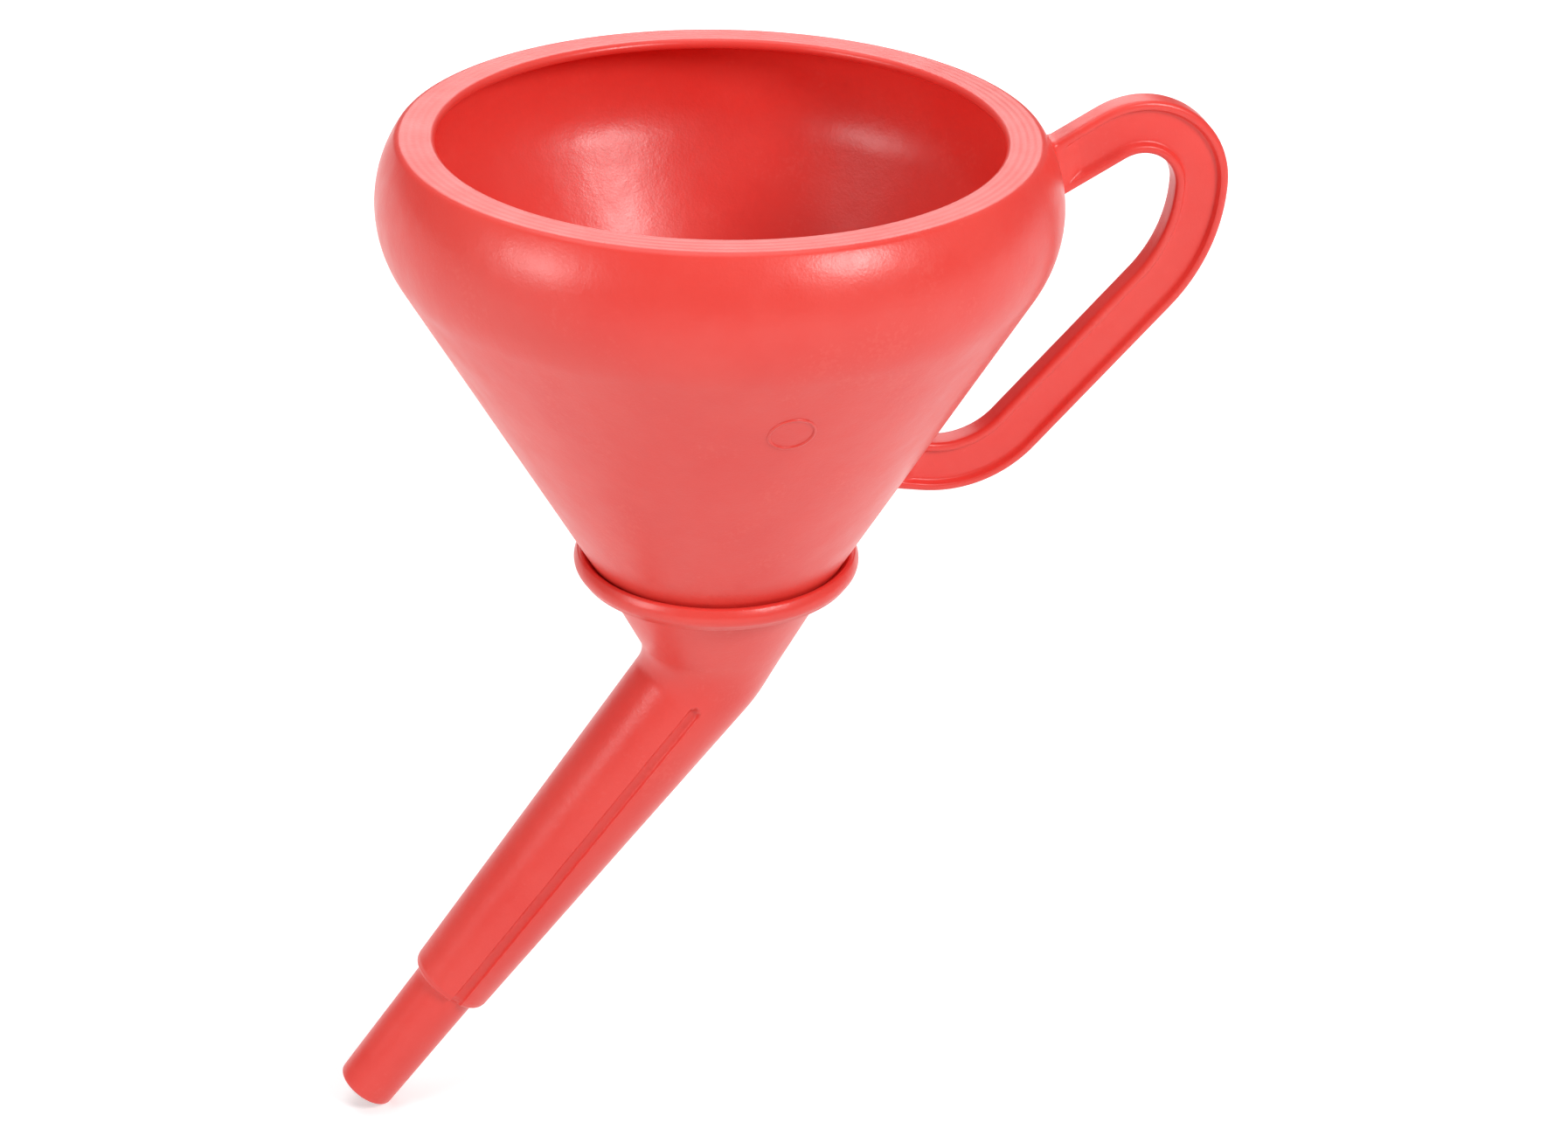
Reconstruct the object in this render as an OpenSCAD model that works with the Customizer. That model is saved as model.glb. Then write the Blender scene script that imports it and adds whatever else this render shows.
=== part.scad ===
// Filling funnel: a bowl with a splash lip and a loop handle, an angled
// spout that clips round the bowl's cone end, and a lift-out strainer.
// Millimetres. The origin is the centre of the spout's outlet, +Z runs up
// along the bowl's axis, +X points to the handle.

/* [Bowl] */
// Largest outside diameter of the bowl
bowl_d = 160; // [132:1:200]
// Diameter of the opening inside the splash lip
mouth_d = 131.4; // [100:0.2:160]
// Radius of the bowl's rounded shoulder
shoulder_r = 28; // [20:1:34]
// Depth of the widest ring below the rim
belly_depth = 16.5; // [13:0.5:20]
// Slope of the cone, measured from the bowl's axis
cone_angle = 30; // [25:1:36]
// Outside diameter of the cone where it enters the spout's collar
neck_d = 64.2; // [53:0.2:78]
// Wall of the bowl
bowl_wall = 2.2; // [1.6:0.1:3]
// Thickness of the flat splash lip
lip_t = 2.6; // [1.8:0.1:4]

/* [Handle] */
// How far the loop reaches out from the bowl's widest ring
handle_reach = 42; // [35:1:60]
// Height of the loop's top above the rim
handle_rise = 4; // [-4:0.5:6]
// Depth of the loop's lowest point below the rim
handle_drop = 94.5; // [86:0.5:98]
// Width of the band, seen from the side of the funnel
band_w = 13; // [9:0.5:16]
// Thickness of the band, across the funnel
band_t = 7; // [5:0.5:14]
// Width of the flange along each edge of the band
flange_w = 1.8; // [1.2:0.1:3]
// Depth of the channel on each side of the web
channel_depth = 1.4; // [0.6:0.1:2]
// Radius of the upper bend, at the middle of the band
top_bend_r = 15; // [12:0.5:18]
// Radius of the long outer curve under it
side_bend_r = 40; // [30:1:50]
// Radius of the lower bend
low_bend_r = 25; // [18:0.5:28]
// Angle of the straight run above the horizontal
run_angle = 48; // [44:1:54]
// Rise of the band where it leaves the bowl's shoulder
top_root_angle = 30; // [20:1:36]
// Rise of the band where it meets the cone
low_root_angle = 8; // [0:1:14]

/* [Spout] */
// Wall of the collar round the cone end
collar_wall = 2.6; // [2:0.1:4]
// Height of the collar
collar_h = 6; // [5:0.5:12]
// Thickness of the collar's floor under the cone end
collar_floor = 2; // [1.4:0.1:3]
// Slope of the throat under the collar, measured from the bowl's axis
throat_angle = 27.5; // [24:0.5:32]
// Angle of the tube below the horizontal
spout_angle = 53.2; // [45:0.2:64]
// Length of the tube from the bend to the step
tube_len = 115; // [80:1:160]
// Outside diameter of the tube at the bend
tube_top_d = 30; // [27:0.2:36]
// Outside diameter of the tube at the step
tube_step_d = 21.4; // [20:0.2:25]
// Wall of the tube and of the throat
spout_wall = 2.2; // [1.6:0.1:2.4]
// Radius of the rounded step
step_round = 1.6; // [0.4:0.1:1.8]
// Length of the slim tip below the step
tip_len = 38; // [25:0.5:55]
// Outside diameter of the tip at the step
tip_top_d = 17; // [16:0.1:17.6]
// Outside diameter of the tip at the outlet
tip_end_d = 15.2; // [14.4:0.1:16]
// Bore of the tip
outlet_d = 12; // [8:0.2:12.4]
// Width of the air-relief groove on each side of the tube
groove_w = 2.4; // [1.6:0.1:3]
// Depth of that groove
groove_depth = 1.2; // [0.6:0.1:1.3]
// Distance from the bend to the groove's upper end
groove_start = 10; // [6:0.5:30]

/* [Strainer] */
// Height of the strainer's seat above the cone's end
seat_height = 7; // [6:0.5:20]
// Height of the strainer's ring
ring_h = 5; // [4:0.5:8]
// Radial thickness of the ring at its foot
ring_t = 2.4; // [1.8:0.1:4]
// Width of the ribs under the mesh
rib_w = 1.6; // [1:0.1:2.4]
// Height of the ribs
rib_h = 2; // [1.4:0.1:3]
// Number of ribs round the hub
rib_count = 4; // [3:1:8]
// Diameter of the finger knob
knob_d = 8; // [6:0.5:12]
// Height of the finger knob above the mesh
knob_h = 12; // [9:0.5:18]
// Diameter of the knob's stem
stem_d = 4; // [3:0.5:5]
// Thickness of the woven mesh
mesh_t = 0.5; // [0.3:0.1:0.8]

/* [Fits] */
// Gap between the cone end and the collar
swivel_gap = 0.3; // [0.2:0.05:0.5]
// Height of the snap bead round the cone end
bead_h = 0.5; // [0.3:0.1:0.6]
// Gap between the strainer's ring and the cone
strainer_gap = 0.3; // [0.2:0.05:0.5]
// Gap round the edges of the mesh
mesh_gap = 0.1; // [0.05:0.05:0.3]

/* [Hidden] */
$fn = 96;
red = "#ee4a40";
brass = "#c9a35c";
// How far cutting shapes run past the faces they cut
over = 1;
arc_steps = 12;

// Bowl: radii from its axis, depths below the rim
bowl_r = bowl_d / 2;
shoulder_cx = bowl_r - shoulder_r;
cone_slope = tan(cone_angle);
tangent_r = shoulder_cx + shoulder_r * cos(cone_angle);
tangent_depth = belly_depth + shoulder_r * sin(cone_angle);
entry_depth = tangent_depth + (tangent_r - neck_d / 2) / cone_slope;
end_depth = entry_depth + collar_h - collar_floor;
end_r = cone_r(end_depth);
wall_across = bowl_wall / cos(cone_angle);

// Snap bead: half-way down the part of the cone inside the collar
bead_depth = (entry_depth + end_depth) / 2;
bead_r = bead_h * 1.5;
bead_cx = cone_r(bead_depth) + bead_h - bead_r;

// Collar and throat, from the collar's lower edge down
collar_r = neck_d / 2 + swivel_gap + collar_wall;
collar_round = 1.2;
collar_depth = entry_depth + collar_h;
throat_slope = tan(throat_angle);
throat_across = spout_wall / cos(throat_angle);
// The throat starts a little wider than the bowl's end, so that nothing stands on the joint
drip_step = 0.2;
throat_in_top = end_r - wall_across + drip_step;
throat_out = throat_in_top - collar_floor * throat_slope + throat_across;

// The tube starts where its outer line meets the outer line of the throat
tube_start = 2;
taper = (tube_top_d - tube_step_d) / 2 / tube_len;
throat_end_r = tube_r(tube_start) * sin(spout_angle) - tube_start * cos(spout_angle);
throat_len = (throat_out - throat_end_r) / throat_slope;
bend_drop = throat_len - tube_start * sin(spout_angle) - tube_r(tube_start) * cos(spout_angle);
throat_in_len = throat_len - spout_wall * cos(spout_angle);
// The tube reaches this much further up into the throat, so that the two solids cross
lap = 0.8;

// Places in the part's own frame
spout_len = tube_len + tip_len;
bend_x = spout_len * cos(spout_angle);
bend_z = spout_len * sin(spout_angle);
collar_low_z = bend_z + bend_drop;
rim_z = collar_low_z + collar_depth;

// Inside of the tube and tip
tip_cone_len = 6;
outlet_round = 0.8;

// Handle, in the plane of symmetry: x from the bowl's axis, z from the rim
half_band = band_w / 2;
top_cx = bowl_r + handle_reach - half_band - top_bend_r;
top_cz = handle_rise - half_band - top_bend_r;
side_cx = top_cx + top_bend_r - side_bend_r;
run_normal = 90 - run_angle;
run_offset = side_cx * cos(run_normal) - top_cz * sin(run_normal) + side_bend_r;
low_cz = low_bend_r + half_band - handle_drop;
low_cx = (run_offset - low_bend_r + low_cz * sin(run_normal)) / cos(run_normal);
root_len = 26;

// Strainer: heights above the foot of its ring
foot_depth = end_depth - seat_height;
ring_low_r = cone_r(foot_depth) - wall_across - strainer_gap;
ring_top_r = cone_r(foot_depth - ring_h) - wall_across - strainer_gap;
mesh_r = ring_low_r - ring_t / 2;
foot_z = rim_z - foot_depth;

// Outside radius of the cone at a depth below the rim
function cone_r(depth) = tangent_r - (depth - tangent_depth) * cone_slope;

// Outside radius of the tube at a distance from the bend
function tube_r(along) = tube_top_d / 2 - along * taper;

// Angle at which a circle round the shoulder's centre reaches a depth below the rim
function rim_angle(r, depth) = asin((belly_depth - depth) / r);

// The shoulder's curve from that depth down to the cone, with a point on the widest ring
function shoulder(r, depth) = concat(
    arc(shoulder_cx, -belly_depth, r, rim_angle(r, depth), 0, 8),
    arc(shoulder_cx, -belly_depth, r, 0, -cone_angle, 8)
);

// Points of an arc round [cx, cz]
function arc(cx, cz, r, from, to, steps = arc_steps) = [
    for (i = [0:steps])
        let (a = from + (to - from) * i / steps)
            [cx + r * cos(a), cz + r * sin(a)]
];

function reversed(list) = [for (i = [len(list) - 1:-1:0]) list[i]];

// Last point of the band's line: straight on from an end of an arc
function root(cx, cz, r, a, dir) = [[
    cx + r * cos(a) + dir * root_len * sin(a),
    cz + r * sin(a) - dir * root_len * cos(a)
]];

// One edge of the band, at a distance outwards from its middle line
function band_edge(out) = concat(
    root(top_cx, top_cz, top_bend_r + out, 90 + top_root_angle, -1),
    arc(top_cx, top_cz, top_bend_r + out, 90 + top_root_angle, 0),
    arc(side_cx, top_cz, side_bend_r + out, 0, -run_normal),
    arc(low_cx, low_cz, low_bend_r + out, -run_normal, -90 - low_root_angle),
    root(low_cx, low_cz, low_bend_r + out, -90 - low_root_angle, 1)
);

module band(width, thickness) {
    rotate([90, 0, 0])
        linear_extrude(thickness, center = true)
            polygon(concat(band_edge(width / 2), reversed(band_edge(-width / 2))));
}

// Bowl's outside as a solid, with the rim at z = 0
module bowl_block() {
    rotate_extrude()
        polygon(concat(
            [[0, 0]],
            shoulder(shoulder_r, 0),
            [[end_r, -end_depth], [0, -end_depth]]
        ));
}

module bead_ring(grow) {
    rotate_extrude()
        translate([bead_cx, -bead_depth])
            circle(r = bead_r + grow);
}

module bowl() {
    inner_r = shoulder_r - bowl_wall;
    lip_edge = lip_t / 2;
    color(red)
        translate([bend_x, 0, rim_z]) {
            rotate_extrude()
                polygon(concat(
                    arc(mouth_d / 2 + lip_edge, -lip_edge, lip_edge, 270, 90),
                    shoulder(shoulder_r, 0),
                    [[end_r, -end_depth], [end_r - wall_across, -end_depth]],
                    reversed(shoulder(inner_r, lip_t))
                ));
            bead_ring(0);
        }
}

module handle() {
    color(red)
        translate([bend_x, 0, rim_z])
            difference() {
                band(band_w, band_t);
                for (side = [-1, 1])
                    translate([0, side * band_t / 2, 0])
                        band(band_w - 2 * flange_w, 2 * channel_depth);
                bowl_block();
            }
}

// Turns what is drawn down the -Z axis onto the spout's axis, from the bend;
// local +X is then the outer, lower side of the tube
module along_spout() {
    translate([bend_x, 0, bend_z])
        rotate([0, 90 - spout_angle, 0])
            children();
}

module collar_block() {
    rotate_extrude()
        polygon(concat(
            [[0, 0]],
            arc(collar_r - collar_round, -collar_round, collar_round, 90, 0),
            arc(collar_r - collar_h / 4, -collar_h * 3 / 4, collar_h / 4, 0, -90),
            [[0, -collar_h]]
        ));
}

// Room for the cone's end in the collar
module cone_socket() {
    rotate_extrude()
        polygon([
            [0, over],
            [cone_r(entry_depth - over) + swivel_gap, over],
            [cone_r(end_depth) + swivel_gap, entry_depth - end_depth],
            [0, entry_depth - end_depth]
        ]);
    translate([0, 0, entry_depth])
        bead_ring(swivel_gap);
}

module throat(r_top, top, depth) {
    rotate_extrude()
        polygon([
            [0, top],
            [r_top, top],
            [r_top - (top + depth) * throat_slope, -depth],
            [0, -depth]
        ]);
}

module tube_block() {
    step_r = tube_step_d / 2;
    end_r = tip_end_d / 2;
    rotate_extrude()
        polygon(concat(
            [[0, lap - tube_start], [tube_r(tube_start), lap - tube_start]],
            arc(step_r - step_round, step_round - tube_len, step_round, 0, -90),
            [[tip_top_d / 2, -tube_len]],
            arc(end_r - outlet_round, outlet_round - spout_len, outlet_round, 0, -90),
            [[0, -spout_len]]
        ));
}

module tube_bore() {
    rotate_extrude()
        polygon([
            [0, lap - tube_start],
            [tube_r(tube_start) - spout_wall, lap - tube_start],
            [tube_r(tube_len - tip_cone_len) - spout_wall, tip_cone_len - tube_len],
            [outlet_d / 2, -tube_len],
            [0, -tube_len]
        ]);
    translate([0, 0, -spout_len - over])
        cylinder(h = tip_len + over * 2, d = outlet_d);
}

module relief_groove() {
    groove_len = tube_len - groove_start + over;
    translate([0, tube_r(groove_start) - groove_depth + groove_w / 2, -groove_start])
        rotate([-atan(taper), 0, 0]) {
            sphere(d = groove_w);
            translate([0, 0, -groove_len])
                cylinder(h = groove_len, d = groove_w);
        }
}

module spout() {
    color(red)
        difference() {
            union() {
                translate([bend_x, 0, collar_low_z + collar_h])
                    collar_block();
                translate([bend_x, 0, collar_low_z])
                    throat(throat_out, 0, throat_len - lap / 2);
                along_spout()
                    tube_block();
            }
            translate([bend_x, 0, collar_low_z + collar_h])
                cone_socket();
            translate([bend_x, 0, collar_low_z])
                throat(throat_in_top, collar_floor, throat_in_len - lap / 2);
            along_spout() {
                tube_bore();
                for (side = [0, 1])
                    mirror([0, side, 0])
                        relief_groove();
            }
        }
}

module strainer_frame() {
    ring_in = ring_low_r - ring_t;
    color(red)
        translate([bend_x, 0, foot_z]) {
            rotate_extrude()
                polygon([
                    [ring_in, 0],
                    [ring_low_r, 0],
                    [ring_top_r, ring_h],
                    [mesh_r + mesh_gap, ring_h],
                    [mesh_r + mesh_gap, rib_h],
                    [ring_in, rib_h]
                ]);
            for (i = [0:rib_count - 1])
                rotate(i * 360 / rib_count)
                    translate([0, -rib_w / 2, 0])
                        cube([ring_in + ring_t / 4, rib_w, rib_h]);
            rotate_extrude()
                polygon(concat(
                    [[0, 0], [stem_d, 0], [stem_d, rib_h], [stem_d / 2, rib_h]],
                    [[stem_d / 2, rib_h + knob_h - knob_d / 2]],
                    arc(knob_d / 2 - 1, rib_h + knob_h - 1, 1, -45, 90),
                    [[0, rib_h + knob_h]]
                ));
        }
}

module strainer_mesh() {
    color(brass)
        translate([bend_x, 0, foot_z + rib_h])
            difference() {
                cylinder(h = mesh_t, r = mesh_r);
                translate([0, 0, -over])
                    cylinder(h = mesh_t + 2 * over, d = stem_d + 2 * mesh_gap);
            }
}

bowl();
handle();
spout();
strainer_frame();
strainer_mesh();
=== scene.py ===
import math

import bpy
import numpy as np
from mathutils import Matrix, Vector


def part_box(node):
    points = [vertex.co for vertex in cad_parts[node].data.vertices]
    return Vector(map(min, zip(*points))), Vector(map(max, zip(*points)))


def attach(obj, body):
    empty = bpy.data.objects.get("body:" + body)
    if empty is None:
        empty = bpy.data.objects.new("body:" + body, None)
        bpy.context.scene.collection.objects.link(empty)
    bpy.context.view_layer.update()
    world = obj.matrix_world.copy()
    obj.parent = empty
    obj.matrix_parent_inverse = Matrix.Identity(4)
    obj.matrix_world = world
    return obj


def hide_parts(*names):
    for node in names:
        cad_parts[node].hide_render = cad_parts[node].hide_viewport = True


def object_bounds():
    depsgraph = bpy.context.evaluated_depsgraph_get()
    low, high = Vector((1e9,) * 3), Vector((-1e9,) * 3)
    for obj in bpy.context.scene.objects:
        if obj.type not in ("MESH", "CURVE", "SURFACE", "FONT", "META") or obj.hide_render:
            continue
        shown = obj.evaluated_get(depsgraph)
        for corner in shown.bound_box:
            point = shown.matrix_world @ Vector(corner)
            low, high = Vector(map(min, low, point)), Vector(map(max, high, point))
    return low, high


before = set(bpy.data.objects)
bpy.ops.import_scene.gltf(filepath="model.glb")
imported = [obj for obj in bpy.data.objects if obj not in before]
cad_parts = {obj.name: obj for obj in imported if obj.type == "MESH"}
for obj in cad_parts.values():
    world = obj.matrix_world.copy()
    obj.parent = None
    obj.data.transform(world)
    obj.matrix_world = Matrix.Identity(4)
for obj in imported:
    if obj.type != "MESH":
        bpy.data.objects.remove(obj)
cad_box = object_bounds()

# Looks of a filling funnel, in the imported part's frame: smooth moulded shells, a woven strainer
# and studio light.
# Lengths are in metres. Turned outlines are drawn as (distance from the bowl's axis, height).
MM = 0.001

# ---------------------------------------------------------------- sizes, from the frame where it has them
bowl_lo, bowl_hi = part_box("bowl")
_, spout_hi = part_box("spout")
strainer_lo, strainer_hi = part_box("strainer_frame")
handle_lo, handle_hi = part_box("handle")

AXIS_X = (bowl_lo.x + bowl_hi.x) / 2
RIM_Z = bowl_hi.z
BOWL_R = (bowl_hi.y - bowl_lo.y) / 2
CONE_END_Z = bowl_lo.z
COLLAR_TOP_Z = spout_hi.z
COLLAR_R = spout_hi.y

CONE_ANGLE = math.radians(30)
SHOULDER_R = 28 * MM
BELLY_DEPTH = 16.5 * MM
MOUTH_R = 65.7 * MM
LIP_T = 2.6 * MM
BOWL_WALL = 2.2 * MM
SHOULDER_CX = BOWL_R - SHOULDER_R
BEAD_HALF = 0.9 * MM
BEAD_H = 0.5 * MM

COLLAR_H = 6 * MM
COLLAR_FLOOR = 2 * MM
SWIVEL_GAP = 0.3 * MM
THROAT_ANGLE = math.radians(27.5)
SPOUT_ANGLE = math.radians(53.2)
SPOUT_WALL = 2.2 * MM
TUBE_LEN = 115 * MM
TIP_LEN = 38 * MM
TUBE_TOP_R = 15 * MM
TUBE_STEP_R = 10.7 * MM
TIP_TOP_R = 8.5 * MM
TIP_END_R = 7.6 * MM
TIP_ROUND = 1.0 * MM
STEP_ROUND = 1.7 * MM
INNER_CONE_LEN = 6 * MM
INNER_BEND_R = 7.5 * MM
OUTER_BEND_R = 45 * MM
DRIP_STEP = 0.2 * MM
OUTLET_R = 6 * MM
GROOVE_HALF = 1.6 * MM
GROOVE_DEPTH = 1.45 * MM
GROOVE_START = 12 * MM
GROOVE_TOP_OFFSET = -0.8 * MM
GROOVE_END_OFFSET = 0.5 * MM

BAND_W = 13 * MM
BAND_T = handle_hi.y - handle_lo.y
FLANGE_W = 2.1 * MM
CHANNEL_DEPTH = 1.7 * MM
HANDLE_REACH = handle_hi.x - AXIS_X - BOWL_R
HANDLE_RISE = handle_hi.z - RIM_Z
HANDLE_DROP = RIM_Z - handle_lo.z
TOP_BEND_R = 15 * MM
SIDE_BEND_R = 40 * MM
LOW_BEND_R = 25 * MM
RUN_NORMAL = math.radians(90 - 48)
TOP_ROOT_ANGLE = math.radians(30)
LOW_ROOT_ANGLE = math.radians(8)
ROOT_LEN = 28 * MM


# ---------------------------------------------------------------- mesh helpers
def arc(cx, cz, r, start, end, steps):
    """Points of an arc round (cx, cz); angles in degrees."""
    a = np.radians(np.linspace(start, end, steps + 1))
    return np.c_[cx + r * np.cos(a), cz + r * np.sin(a)]


def line(p, q, steps):
    """Points evenly spaced from p to q."""
    t = np.linspace(0, 1, steps + 1)[:, None]
    return np.asarray(p) * (1 - t) + np.asarray(q) * t


def joined(*parts):
    """Parts of an outline one after another, without repeated points."""
    points = np.vstack(parts)
    keep = np.r_[True, np.linalg.norm(np.diff(points, axis=0), axis=1) > 1e-7]
    return points[keep]


def mesh_object(name, points, faces, material, body):
    """A smooth-shaded piece that rides on a body."""
    mesh = bpy.data.meshes.new(name)
    mesh.from_pydata([tuple(p) for p in points], [], faces)
    mesh.validate()
    mesh.polygons.foreach_set("use_smooth", [True] * len(mesh.polygons))
    mesh.materials.append(material)
    obj = bpy.data.objects.new(name, mesh)
    bpy.context.scene.collection.objects.link(obj)
    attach(obj, body)
    return obj


def ring_faces(rings, around, closed, flip=False):
    """Quads between rings of points; closed joins the last ring to the first, otherwise ends are capped."""
    faces = []
    last = rings if closed else rings - 1
    for i in range(last):
        a, b = i * around, (i + 1) % rings * around
        for j in range(around):
            k = (j + 1) % around
            faces.append((a + j, b + j, b + k, a + k))
    if not closed:
        faces.append(tuple(range(around)))
        faces.append(tuple((rings - 1) * around + j for j in reversed(range(around))))
    if flip:
        faces = [tuple(reversed(f)) for f in faces]
    return faces


def skinned(name, rings, material, body, closed=True, flip=False):
    """A piece skinned over rings of points."""
    rings = np.asarray(rings)
    faces = ring_faces(rings.shape[0], rings.shape[1], closed, flip)
    return mesh_object(name, rings.reshape(-1, 3), faces, material, body)


def lathe(profile, z0, around):
    """Rings of a closed outline (radius, height) turned about the bowl's axis."""
    a = np.linspace(0, 2 * math.pi, around, endpoint=False)
    r, z = profile[:, 0][:, None], profile[:, 1][:, None]
    return np.stack([AXIS_X + r * np.cos(a), r * np.sin(a), z0 + z + 0 * a], -1)


# ---------------------------------------------------------------- materials
class Nodes:
    """Short way to write a node tree."""

    def __init__(self, name):
        self.material = bpy.data.materials.new(name)
        self.material.use_nodes = True
        self.tree = self.material.node_tree
        self.shader = self.tree.nodes["Principled BSDF"]
        coordinates = self.add("ShaderNodeTexCoord")
        self.place = coordinates.outputs["Object"]

    def add(self, kind, **values):
        node = self.tree.nodes.new(kind)
        for key, value in values.items():
            if key in node.inputs:
                node.inputs[key].default_value = value
            else:
                setattr(node, key, value)
        return node

    def link(self, a, b):
        self.tree.links.new(a, b)

    def noise(self, scale, detail=2.0, roughness=0.5):
        node = self.add("ShaderNodeTexNoise", Scale=scale, Detail=detail, Roughness=roughness)
        self.link(self.place, node.inputs["Vector"])
        return node.outputs["Fac"]

    def spread(self, value, low, high, out_low, out_high):
        """A value moved from one range to another, and held inside it."""
        node = self.add("ShaderNodeMapRange")
        limits = {"From Min": low, "From Max": high, "To Min": out_low, "To Max": out_high}
        for key, number in limits.items():
            node.inputs[key].default_value = number
        self.link(value, node.inputs["Value"])
        return node.outputs["Result"]

    def math(self, operation, a, b=None):
        node = self.add("ShaderNodeMath", operation=operation)
        for socket, value in zip(node.inputs, (a, b)):
            if value is None:
                continue
            if isinstance(value, (int, float)):
                socket.default_value = value
            else:
                self.link(value, socket)
        return node.outputs[0]

    def mix(self, factor, a, b):
        """A colour between two colours."""
        node = self.add("ShaderNodeMix", data_type="RGBA")
        self.link(factor, node.inputs["Factor"])
        for socket, value in ((node.inputs[6], a), (node.inputs[7], b)):
            if isinstance(value, tuple):
                socket.default_value = value
            else:
                self.link(value, socket)
        return node.outputs[2]

    def bump(self, height, strength, distance, normal=None):
        node = self.add("ShaderNodeBump", Strength=strength, Distance=distance)
        self.link(height, node.inputs["Height"])
        if normal is not None:
            self.link(normal, node.inputs["Normal"])
        return node.outputs["Normal"]

    def set(self, **values):
        for key, value in values.items():
            self.shader.inputs[key.replace("_", " ")].default_value = value


RED_DEEP = (0.84, 0.052, 0.040, 1)
RED_MILKY = (0.87, 0.072, 0.056, 1)
RED_RUBBED = (0.93, 0.16, 0.125, 1)
BRASS_BRIGHT = (0.78, 0.57, 0.27, 1)
BRASS_DULL = (0.50, 0.33, 0.14, 1)
TURNING_PITCH = 1.7 * MM


def moulded_red(name, turning_marks):
    """Semi-matte polyethylene: milky mottling, an orange-peel skin and rubbed specks.

    turning_marks adds faint rings.
    """
    n = Nodes(name)
    mottling = n.noise(28, 4, 0.55)
    colour = n.mix(n.spread(mottling, 0.35, 0.65, 0, 1), RED_DEEP, RED_MILKY)
    specks = n.noise(900, 2, 0.6)
    rubbed = n.spread(n.math("MULTIPLY", specks, n.noise(60, 2)), 0.34, 0.42, 0, 0.14)
    colour = n.mix(rubbed, colour, RED_RUBBED)
    n.link(colour, n.shader.inputs["Base Color"])
    n.link(n.spread(n.noise(120, 3), 0.3, 0.7, 0.29, 0.37), n.shader.inputs["Roughness"])
    normal = n.bump(n.noise(1600, 2), 0.10, 0.0004)
    normal = n.bump(n.noise(190, 2), 0.16, 0.0006, normal)
    if turning_marks:
        split = n.add("ShaderNodeSeparateXYZ")
        n.link(n.place, split.inputs[0])
        across = n.math("SUBTRACT", split.outputs["X"], AXIS_X)
        across_squared = n.math("MULTIPLY", across, across)
        deep_squared = n.math("MULTIPLY", split.outputs["Y"], split.outputs["Y"])
        radius = n.math("SQRT", n.math("ADD", across_squared, deep_squared))
        marks = n.math("SINE", n.math("MULTIPLY", radius, 2 * math.pi / TURNING_PITCH))
        on_rim = n.math("GREATER_THAN", split.outputs["Z"], RIM_Z - 0.25 * MM)
        normal = n.bump(n.math("MULTIPLY", marks, on_rim), 0.12, 0.0003, normal)
    n.link(normal, n.shader.inputs["Normal"])
    n.set(IOR=1.5, Subsurface_Weight=0.12, Subsurface_Scale=1.0)
    n.set(Subsurface_Radius=(6 * MM, 1.2 * MM, 0.8 * MM))
    return n.material


def tarnished_brass(name):
    """Brass wire, bright in places and dull in others."""
    n = Nodes(name)
    tarnish = n.noise(140, 4, 0.6)
    colour = n.mix(n.spread(tarnish, 0.35, 0.7, 0, 1), BRASS_BRIGHT, BRASS_DULL)
    n.link(colour, n.shader.inputs["Base Color"])
    n.link(n.spread(tarnish, 0.3, 0.7, 0.24, 0.44), n.shader.inputs["Roughness"])
    n.link(n.bump(n.noise(3000, 2), 0.15, 0.0002), n.shader.inputs["Normal"])
    n.set(Metallic=1.0)
    return n.material


red_bowl = moulded_red("red_bowl", True)
red_part = moulded_red("red_part", False)
brass = tarnished_brass("brass")


# ---------------------------------------------------------------- bowl
def shoulder_arc(r, start, end, steps):
    """Part of a circle round the shoulder's centre."""
    return arc(SHOULDER_CX, -BELLY_DEPTH, r, start, end, steps)


def cone_radius(depth, offset=0.0):
    """Radius of the cone at a depth below the rim, a distance inside its outer face."""
    angle = CONE_ANGLE
    tangent_r = SHOULDER_CX + SHOULDER_R * math.cos(angle)
    tangent_depth = BELLY_DEPTH + SHOULDER_R * math.sin(angle)
    return tangent_r - (depth - tangent_depth) * math.tan(angle) - offset / math.cos(angle)


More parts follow.
